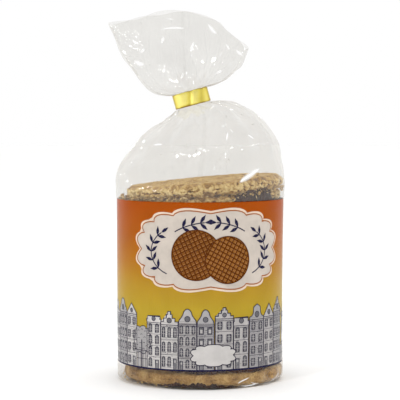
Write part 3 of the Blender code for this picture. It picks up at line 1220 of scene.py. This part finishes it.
def disc_grid(cells):
    """A square grid of cells squeezed into the unit disc, ring by ring, and its border in order."""
    side = np.linspace(-1, 1, cells + 1)
    a, b = np.meshgrid(side, side, indexing="ij")
    wide = np.abs(a) >= np.abs(b)
    with np.errstate(divide="ignore", invalid="ignore"):
        turn = np.where(wide, math.pi / 4 * b / a, math.pi / 2 - math.pi / 4 * a / b)
    turn = np.nan_to_num(turn)
    reach = np.where(wide, a, b)
    x, y = reach * np.cos(turn), reach * np.sin(turn)
    border = [(i, 0) for i in range(cells)] + [(cells, j) for j in range(cells)]
    border += [(i, cells) for i in range(cells, 0, -1)] + [(0, j) for j in range(cells, 0, -1)]
    return x.ravel(), y.ravel(), [i * (cells + 1) + j for i, j in border], cells + 1


def uneven(x, y, scale, seed):
    """Smooth noise at each of these places, between about -1 and 1."""
    return np.array([noise.noise(Vector((a * scale, b * scale, seed * 7.3))) for a, b in zip(x, y)])


def waffle_relief(x, y):
    """Ridges of the iron's square grid, 1 on a ridge and 0 in the middle of a pit."""
    to_x = np.abs((x / WAFFLE_PITCH) % 1.0 - 0.5) * WAFFLE_PITCH
    to_y = np.abs((y / WAFFLE_PITCH) % 1.0 - 0.5) * WAFFLE_PITCH
    nearest = np.minimum(to_x, to_y)
    return hump(nearest, RIDGE_WIDTH)


def granule(spot, cell):
    """A crumb of the cut side: how far the spot is from the crumb's middle, and the crumb's own shade."""
    distances, middles = noise.voronoi(spot / cell)
    return distances[0], noise.noise(middles[0] * 3.7)


class Biscuit:
    """One stroopwafel: two thin waffles on a line of syrup, cut round, with a crumbly side.

    It is made level round the origin. It keeps one value a vertex for the waffle's material: how brown a
    place is, with painted shade in the pits and in the hollows of the cut side.
    """

    SIDE_ROWS = 15
    SIDE_INSET = 0.0009
    RIDGE = 0.00090
    GRIT = 0.00012
    CHIP = 0.0026
    GRAIN = 0.0017
    COARSE_CRUMB = 0.00150
    FINE_CRUMB = 0.00060
    GROOVE = 0.00080
    BULGE = 0.0009

    def __init__(self, radius, height, cells, rough, seed):
        self.height, self.rough, self.seed = height, rough, seed
        self.vertices, self.faces, self.browning_and_shade = [], [], []
        unit_x, unit_y, border, count = disc_grid(cells)
        turn = np.arctan2(unit_y, unit_x)
        ragged = 1 + 0.007 * uneven(np.cos(turn), np.sin(turn), 2.2, seed)
        ragged += 0.009 * rough * uneven(np.cos(turn), np.sin(turn), 14.0, seed + 1)
        self.x = unit_x * (radius - self.SIDE_INSET) * ragged
        self.y = unit_y * (radius - self.SIDE_INSET) * ragged
        self.edge = np.sqrt(unit_x**2 + unit_y**2)
        self.warp = 0.00025 * uneven(self.x, self.y, 40.0, seed + 2)
        self.add_face(1, 0.0, 0.0, count)
        self.add_face(-1, 0.0011, -0.0007, count)
        self.add_side(border, count * count)

    def add_face(self, side, shift_x, shift_y, count):
        """The upper (side 1) or lower (side -1) face with the iron's grid."""
        ridge = waffle_relief(self.x + shift_x, self.y + shift_y)
        rim = smoothstep(0.955, 1.0, self.edge)
        grit = uneven(self.x, self.y, 820.0, self.seed + 3)
        blisters = uneven(self.x, self.y, 150.0, self.seed + 4)
        chips = np.maximum(0.0, uneven(self.x, self.y, 330.0, self.seed + 5) + 0.12)
        relief = (self.RIDGE * ridge + self.GRIT * grit) * (1 - rim)
        relief -= 0.0004 * rim**2 + self.CHIP * self.rough * rim * chips
        z = side * (self.height / 2 - 0.0006 + relief) + self.warp
        start = len(self.vertices)
        self.vertices += zip(self.x, self.y, z)
        # Browner in the pits than on the raised ridges: partly browning, partly painted shade.
        self.browning_and_shade += list(0.57 - 0.26 * ridge + 0.20 * blisters + 0.12 * grit)
        for i in range(count - 1):
            for j in range(count - 1):
                a, b = start + i * count + j, start + (i + 1) * count + j
                self.faces.append((a, b, b + 1, a + 1) if side > 0 else (a, a + 1, b + 1, b))

    def add_side(self, border, offset):
        """The cut side: crumbs and holes, darkened in the holes as painted shade, with the syrup's groove
        half way up.
        """
        rim_top = np.array([self.vertices[index] for index in border])
        rim_low = np.array([self.vertices[index + offset] for index in border])
        previous = list(border)
        drift = Vector((0.0, 0.0, self.seed * 0.37))
        for row in range(1, self.SIDE_ROWS):
            share = row / self.SIDE_ROWS
            to_middle = abs(share - 0.5)
            start = len(self.vertices)
            for top, low in zip(rim_top, rim_low):
                spot = Vector(top * (1 - share) + low * share)
                gap, shade = granule(spot + drift, self.GRAIN)
                fine, fine_shade = granule(spot + drift, self.GRAIN * 0.45)
                away = spot.to_2d().normalized().to_3d()
                lump = noise.noise((spot + drift) * 190.0)
                bulge = self.BULGE * math.sin(math.pi * share) ** 0.4
                broken = smoothstep(-0.1, 0.35, lump)
                groove = self.GROOVE * hump(to_middle, 0.06) * broken
                crumb = self.COARSE_CRUMB * (0.42 - gap) + self.FINE_CRUMB * (0.42 - fine) + 0.0003 * shade
                reach = bulge + self.rough * (crumb - groove) + 0.00060 * lump
                self.vertices.append(tuple(spot + away * reach))
                crust = 0.20 * smoothstep(0.42, 0.5, to_middle)
                syrup = 0.85 * hump(to_middle, 0.05) * broken
                # Painted shade in the hollows between crumbs, darker the further a place lies from a crumb's
                # middle.
                shaded_hollow = 1.5 * max(0.0, gap - 0.46) + 0.9 * max(0.0, fine - 0.5)
                crumbly = syrup + shaded_hollow + 0.40 * shade + 0.22 * fine_shade
                # The smooth bottom biscuit is darker all over: partly its own browner tone, partly painted
                # shade for the dimmer light at the foot of the stack.
                self.browning_and_shade.append(crust + 0.22 * lump + self.rough * crumbly + 0.52 * (1 - self.rough))
            current = list(range(start, start + len(border)))
            self.faces += side_quads(previous, current)
            previous = current
        self.faces += side_quads(previous, [index + offset for index in border])

    def put(self, name, finish, where):
        obj = mesh_object(name, self.vertices, self.faces, finish)
        store(obj, "browning_and_shade", np.clip(self.browning_and_shade, 0.0, 1.0))
        obj.data.transform(where)
        place(obj)


def side_quads(upper, lower):
    """Quads between two closed rows of corners."""
    count = len(upper)
    return [(upper[i], lower[i], lower[(i + 1) % count], upper[(i + 1) % count]) for i in range(count)]


def syrup_ring(radius, seed):
    """The edge of the caramel, which oozes out here and there between the two waffles."""
    columns = 300
    profile = ((-0.0030, 0.00045), (0.0, 0.00050), (0.00030, 0.0), (0.0, -0.00050), (-0.0030, -0.00045))
    points = []
    for column in range(columns):
        ahead = ray(math.tau * column / columns)
        ooze = 0.00050 * noise.noise(ahead * 5.0 + Vector((0, 0, seed)))
        ooze += 0.00040 * noise.noise(ahead * 16.0 + Vector((0, 0, seed)))
        sag = 0.00018 * noise.noise(ahead * 9.0 + Vector((0, 0, seed + 3)))
        for reach, height in profile:
            grow = 1.0 + 1.2 * max(0.0, ooze / 0.0005)
            spot = ahead * (radius - SYRUP_INSET + reach + ooze)
            points.append((spot.x, spot.y, height * grow + sag))
    faces = grid_faces(columns + 1, len(profile))
    return points, [[corner % len(points) for corner in face] for face in faces]


def stand(x, y, z, tilt_deg, lean_deg):
    """Where a biscuit lies: tilt raises its right side, lean its back."""
    tilted = Matrix.Translation((x, y, z)) @ Matrix.Rotation(-math.radians(tilt_deg), 4, "Y")
    return tilted @ Matrix.Rotation(math.radians(lean_deg), 4, "X")


BOTTOM_PLACE = stand(BOTTOM_X, 0.0, STACK_FOOT + BOTTOM_HEIGHT / 2, 0.0, 0.0)
SECOND_PLACE = stand(SECOND_X, 0.0, SECOND_Z, SECOND_TILT_DEG, TOP_LEAN_DEG)
TOP_PLACE = stand(TOP_X, 0.0, TOP_Z, TOP_TILT_DEG, TOP_LEAN_DEG)
# Dark syrup smeared on the sides: the biscuit's place and radius, between which angles, and between
# which heights, as shares of the bottom biscuit's. The ooze at the front right, up into the gap under
# the top biscuit, is partly syrup and partly painted shadow of that gap; the run just under the band is
# a syrup-dark strip of painted shadow under the band's lower edge; the drip is syrup.
SMEARS = {
    "syrup_ooze_and_gap_shadow": (SECOND_PLACE, SECOND_RADIUS, (-78, -18), (-0.40, 0.62)),
    "syrup_drip": (BOTTOM_PLACE, BOTTOM_RADIUS, (-128, -64), (-0.50, -0.14)),
    "band_shadow_smear": (BOTTOM_PLACE, BOTTOM_RADIUS, (-114, -28), (0.60, 0.34)),
}


def build_stack():
    """The biscuits with their syrup, from the bottom up, and the smears on their sides."""
    draw = random.Random(4)
    waffle, syrup = waffle_material(), syrup_material()
    hidden_foot = STACK_FOOT + BOTTOM_HEIGHT
    pitch = (STACK_TOP - hidden_foot) / (BISCUITS - 3)
    for number in range(BISCUITS):
        radius, height, cells, rough = HIDDEN_RADIUS, pitch - HIDDEN_GAP, 40, 1.0
        x, y = HIDDEN_X + draw.uniform(-0.2, 0.2) * MM, draw.uniform(-0.3, 0.3) * MM
        lean, turn = draw.uniform(-0.1, 0.1), draw.uniform(0, math.tau)
        where = stand(x, y, hidden_foot + (number - 0.5) * pitch, 0.0, lean)
        if number == 0:
            radius, height, cells, rough = BOTTOM_RADIUS, BOTTOM_HEIGHT, 110, 0.16
            where = BOTTOM_PLACE @ Matrix.Rotation(math.radians(lean), 4, "X")
        if number == BISCUITS - 2:
            radius, height, cells, where = SECOND_RADIUS, UPPER_HEIGHT, 120, SECOND_PLACE
        if number == BISCUITS - 1:
            radius, height, cells, where = TOP_RADIUS, TOP_HEIGHT, 150, TOP_PLACE
            turn = math.radians(TOP_TURN_DEG)
        where = where @ Matrix.Rotation(turn, 4, "Z")
        biscuit = Biscuit(radius, height, cells, rough, number * 11 + 1)
        biscuit.put(f"stroopwafel_{number + 1:02d}", waffle, where)
        rim = mesh_object(f"syrup_{number + 1:02d}", *syrup_ring(radius, number * 5 + 2), syrup)
        rim.data.transform(where)
        place(rim)
    for name, smear in SMEARS.items():
        place(mesh_object(name, *smear_shape(*smear), syrup))


def smear_shape(where, radius, turns_deg, heights):
    """A ragged patch on a biscuit's side, between two angles and two heights."""
    columns, rows = 130, 9
    first, last = (math.radians(turn) for turn in turns_deg)
    low, high = (share * BOTTOM_HEIGHT for share in heights)
    points = []
    for row in range(rows):
        share = row / (rows - 1)
        for column in range(columns):
            along = column / (columns - 1)
            ahead = ray(first + (last - first) * along)
            ragged = noise.noise(ahead * 11.0) + 0.7 * noise.noise(ahead * 34.0)
            ends = min(1.0, 4.0 * along, 4.0 * (1 - along))
            height = low + (high - low) * share * max(0.05, ends * (0.85 + 0.75 * ragged))
            swell = math.sin(math.pi * share) ** 0.5 * ends
            lumps = noise.noise(ahead * 26.0 + Vector((0, 0, 2.5 * share)))
            reach = radius - SYRUP_INSET + 0.0017 * swell + 0.0007 * lumps
            points.append(where @ (ahead * reach + Vector((0, 0, height))))
    return points, grid_faces(rows, columns, closed=False)


def foot_crumb(draw, size, turn):
    """Round the foot of the stack, now and then a little up its side."""
    reach = draw.uniform(0.0396, 0.0412)
    spot = Vector((AXIS_X + reach * math.cos(turn), 0.97 * reach * math.sin(turn), BASE_LIFT + size * 0.8))
    spot.z += draw.random() ** 3 * 0.006
    return spot


def gap_crumb(draw, _size, turn):
    """In the gap under the top biscuit."""
    lodged = ray(turn) * draw.uniform(0.0392, 0.0410)
    lodged.z = -TOP_HEIGHT * draw.uniform(0.35, 0.70)
    return TOP_PLACE @ lodged


def top_crumb(draw, size, turn):
    """On the top biscuit."""
    lying = ray(turn) * math.sqrt(draw.random()) * 0.037
    lying.z = TOP_HEIGHT / 2 + size * 0.2
    return TOP_PLACE @ lying


def band_crumb(draw, _size, _turn):
    """At the left of the front, by the print's upper edge."""
    turn = math.radians(draw.uniform(175, 262))
    reach = draw.uniform(0.0402, 0.0418)
    height = BAND_HIGH + draw.uniform(-0.0018, 0.0022)
    return Vector((AXIS_X + reach * math.cos(turn), 0.985 * reach * math.sin(turn), height))


def build_crumbs():
    """Loose crumbs, each a small ball squeezed and roughened."""
    draw = random.Random(19)
    crumbs, shades = bmesh.new(), []
    spots = [foot_crumb] * FOOT_CRUMBS + [gap_crumb] * GAP_CRUMBS
    spots += [top_crumb] * TOP_CRUMBS + [band_crumb] * BAND_CRUMBS
    for index, find_spot in enumerate(spots):
        size = draw.uniform(0.25, 0.80) * MM
        spot = find_spot(draw, size, draw.uniform(0, math.tau))
        made = bmesh.ops.create_icosphere(crumbs, subdivisions=1, radius=size)["verts"]
        squeeze = Vector((draw.uniform(0.6, 1.2), draw.uniform(0.6, 1.2), draw.uniform(0.5, 0.9)))
        shades += [draw.uniform(0.0, 0.7)] * len(made)
        for vertex in made:
            rough = 1 + 0.5 * noise.noise(vertex.co * 1500 + Vector((index, 0, 0)))
            vertex.co = spot + vertex.co * squeeze * rough
    obj = bmesh_object("crumbs", crumbs, bpy.data.materials["waffle"])
    store(obj, "browning_and_shade", shades)
    place(obj)


# ---------------------------------------------------------------- clip, floor, light, camera


def clip_spot(turn, height):
    """A place on the middle of the foil's thickness, and how much painted shade it has there.

    The place is level round the neck, height runs from -1 to 1, and angles count from the crimp.
    """
    angle = 2 * math.pi * turn
    from_crimp = math.remainder(math.degrees(angle) - CLIP_CRIMP_DEG - 7.0 * height, 360)
    crimp = hump(from_crimp, CLIP_CRIMP_WIDTH_DEG)
    shaded_hollow = hump(from_crimp - 42, 15) + 0.6 * hump(from_crimp + 150, 30)
    lap = min(1.0, max(0.0, 1 - (CLIP_START_TURN + 1 - turn) / CLIP_LAP_TURN))
    clear = CLIP_GAP + CLIP_THICKNESS / 2 + (CLIP_THICKNESS + CLIP_GAP) * lap
    dent = 0.00016 * noise.noise(ray(angle) * 3 + Vector((0.0, 0.0, height * 0.8)))
    puff = CLIP_BULGE * (1 - crimp - 0.45 * shaded_hollow) * (1 - 0.25 * height**4)
    x = (NECK_HALF_WIDTH + clear + dent) * math.cos(angle)
    y = (NECK_HALF_DEPTH + clear + puff + dent) * math.sin(angle)
    edge = 0.5 * CLIP_HEIGHT * (0.97 + 0.03 * noise.noise(ray(angle) * 4 + Vector((0.0, 0.0, 5.0))))
    # Painted shade: darker in the crimp and the hollows, along the upper and lower edges, at the left and
    # right ends where the foil turns away, and along the lower edge near the crimp.
    foil_shade = 0.32 * hump(from_crimp + 1, 8) + 0.40 * shaded_hollow
    foil_shade += 0.55 * smoothstep(0.78, 1.0, abs(height)) + 0.60 * smoothstep(0.78, 1.0, abs(math.cos(angle)))
    foil_shade += 0.7 * smoothstep(0.55, 1.0, -height) * hump(from_crimp + 14, 22)
    return Vector((x, y, edge * height)), foil_shade


def build_clip():
    """The foil strip wound round the neck, crimped in front, with its end lapped over at the back."""
    columns, rows = 260, 12
    turns = 1.0 + CLIP_LAP_TURN
    spots, folds = [], []
    for row in range(rows + 1):
        for column in range(columns + 1):
            spot, foil_shade = clip_spot(CLIP_START_TURN + turns * column / columns, 2 * row / rows - 1)
            spots.append(spot)
            folds.append(foil_shade)
    faces = grid_faces(rows + 1, columns + 1, closed=False)
    clip = mesh_object("foil_clip", spots, faces, foil_material())
    # These values give the foil its painted shade, which its material reads.
    store(clip, "foil_shade", np.clip(folds, 0.0, 1.0))
    lean = Matrix.Rotation(-math.radians(NECK_LEAN_DEG), 4, "Y")
    clip.data.transform(Matrix.Translation((AXIS_X + NECK_X, 0.0, NECK_Z)) @ lean)
    thickness = clip.modifiers.new("thickness", "SOLIDIFY")
    thickness.thickness = CLIP_THICKNESS * 0.8
    thickness.offset = 0.0
    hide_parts("clip")
    place(clip)


def build_floor():
    shape = bmesh.new()
    bmesh.ops.create_circle(shape, cap_ends=True, segments=64, radius=6.0)
    bmesh_object("floor", shape, floor_material())


def area_light(name, azimuth_deg, elevation_deg, distance, size, power):
    """A square soft box that faces the middle of the bag; azimuth 0 is in front, 90 to the right."""
    towards = ray(math.radians(azimuth_deg - 90)) * math.cos(math.radians(elevation_deg))
    towards.z = math.sin(math.radians(elevation_deg))
    lamp = bpy.data.lights.new(name, "AREA")
    lamp.shape = "SQUARE"
    lamp.size = size
    lamp.energy = power
    obj = link(name, lamp)
    obj.location = Vector((0.0, 0.0, 0.11)) + towards * distance
    obj.rotation_euler = towards.to_track_quat("Z", "Y").to_euler()


def build_lights():
    """Small soft boxes that sparkle on the film, in a white studio that is dimmer behind the camera."""
    area_light("key_light", -32, 50, 1.3, 0.08, KEY_POWER)
    for index in range(SPARK_LIGHTS):
        azimuth = 137.5 * index - 40
        elevation = 1 + 58 * (0.618 * index % 1.0) ** 1.3
        area_light(f"spark_light_{index + 1:02d}", azimuth, elevation, 1.4, 0.03, SPARK_POWER)
    studio = Nodes(bpy.data.worlds.new("studio"))
    direction = studio.add("ShaderNodeTexCoord", output="Generated")
    forward = studio.maths("MULTIPLY", studio.axis(direction, "Y"), -1.0)
    shares = [forward, studio.axis(direction, "Z")]
    squares = [studio.maths("POWER", studio.maths("MAXIMUM", share, 0.0), 2.0) for share in shares]
    dimming = studio.maths("MULTIPLY", squares[0], -STUDIO_DIMMING)
    overhead = studio.maths("MULTIPLY", squares[1], STUDIO_OVERHEAD)
    strength = studio.maths("MULTIPLY", studio.maths("ADD", dimming, 1.0), studio.maths("ADD", overhead, 1.0))
    studio.feed(studio.tree.nodes["Background"], {"Color": WHITE, "Strength": strength})
    bpy.context.scene.world = studio.owner


def build_camera():
    """Just below the level of the bag's neck, looking a little down, through a long lens."""
    camera = bpy.data.cameras.new("camera")
    camera.sensor_width = 36.0
    camera.lens = CAMERA_LENS_MM
    obj = link("camera", camera)
    obj.location = VIEWPOINT
    obj.rotation_euler = (math.radians(90 - CAMERA_DIP_DEG), 0.0, 0.0)
    bpy.context.scene.camera = obj


def main():
    points, starts, creases = crumpled_bag()
    film = build_film(points, starts, creases)
    build_painted_glints(film)
    build_back_seam(points, starts)
    build_print(points, starts)
    build_stack()
    build_crumbs()
    build_clip()
    build_floor()
    build_lights()
    build_camera()
    bpy.context.scene.view_settings.view_transform = "Standard"
    bpy.context.scene.cycles.transparent_max_bounces = 32


main()
